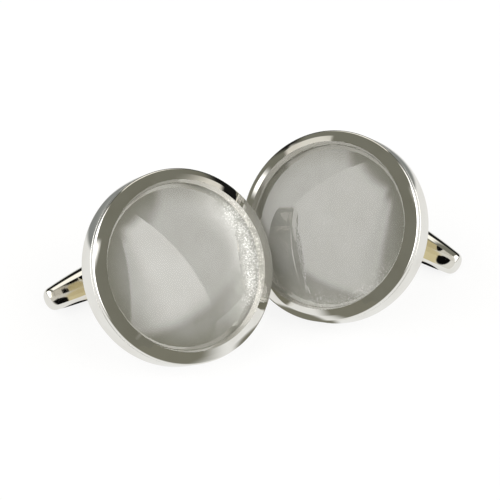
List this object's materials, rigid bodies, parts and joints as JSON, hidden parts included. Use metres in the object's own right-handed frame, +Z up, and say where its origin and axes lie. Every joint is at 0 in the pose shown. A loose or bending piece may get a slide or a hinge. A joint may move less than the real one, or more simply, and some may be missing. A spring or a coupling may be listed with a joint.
{
  "type": "cufflink",
  "caption": "Round polished cufflinks, shown as a matched pair, each with a pearly disc under domed glass and a torpedo bar that swivels on a post to lock behind a cuff.",
  "frame": {"origin": "on the table under the middle of the pair's box", "axes": "+Z up from the table, +X across the pair, the faces look to -Y and up"},
  "size_m": [0.0448, 0.0308, 0.0173],
  "materials": {
    "polished_metal": "mirror polished, silver-coloured plating",
    "clear_glass": "clear, polished",
    "pearl": "pale pearly grey with fine white grains",
    "adhesive": "clear cured adhesive",
    "pin_metal": "polished rivet",
    "spring_steel": "bright spring strip"
  },
  "bodies": {
    "left_link": {"left_cup": "polished_metal", "left_bezel_ring": "polished_metal", "left_glass_dome": "clear_glass", "left_pearl_disc": "pearl", "left_dome_bond": "adhesive", "left_disc_bond": "adhesive", "left_post": "polished_metal"},
    "left_bar": {"left_swivel_bar": "polished_metal", "left_pivot_pin": "pin_metal", "left_leaf_spring": "spring_steel"},
    "right_link": {"right_cup": "polished_metal", "right_bezel_ring": "polished_metal", "right_glass_dome": "clear_glass", "right_pearl_disc": "pearl", "right_dome_bond": "adhesive", "right_disc_bond": "adhesive", "right_post": "polished_metal"},
    "right_bar": {"right_swivel_bar": "polished_metal", "right_pivot_pin": "pin_metal", "right_leaf_spring": "spring_steel"}
  },
  "joints": [
    {"name": "left_bar_turn", "type": "hinge", "parent": "left_link", "child": "left_bar", "pos_m": [-0.01418, 0.00186, 0.00201], "axis": [0.3958, -0.5003, -0.7701], "range_deg": [0, 90], "deforming": ["left_leaf_spring"]},
    {"name": "right_bar_turn", "type": "hinge", "parent": "right_link", "child": "right_bar", "pos_m": [0.01438, 0.00872, 0.00228], "axis": [0.4553, 0.4386, 0.7748], "range_deg": [0, 90], "deforming": ["right_leaf_spring"]},
    {"name": "right_link_lift", "type": "slide", "parent": "left_link", "child": "right_link", "axis": [0.5025, 0.5025, 0.7035], "range_m": [0, 0.03]}
  ]
}
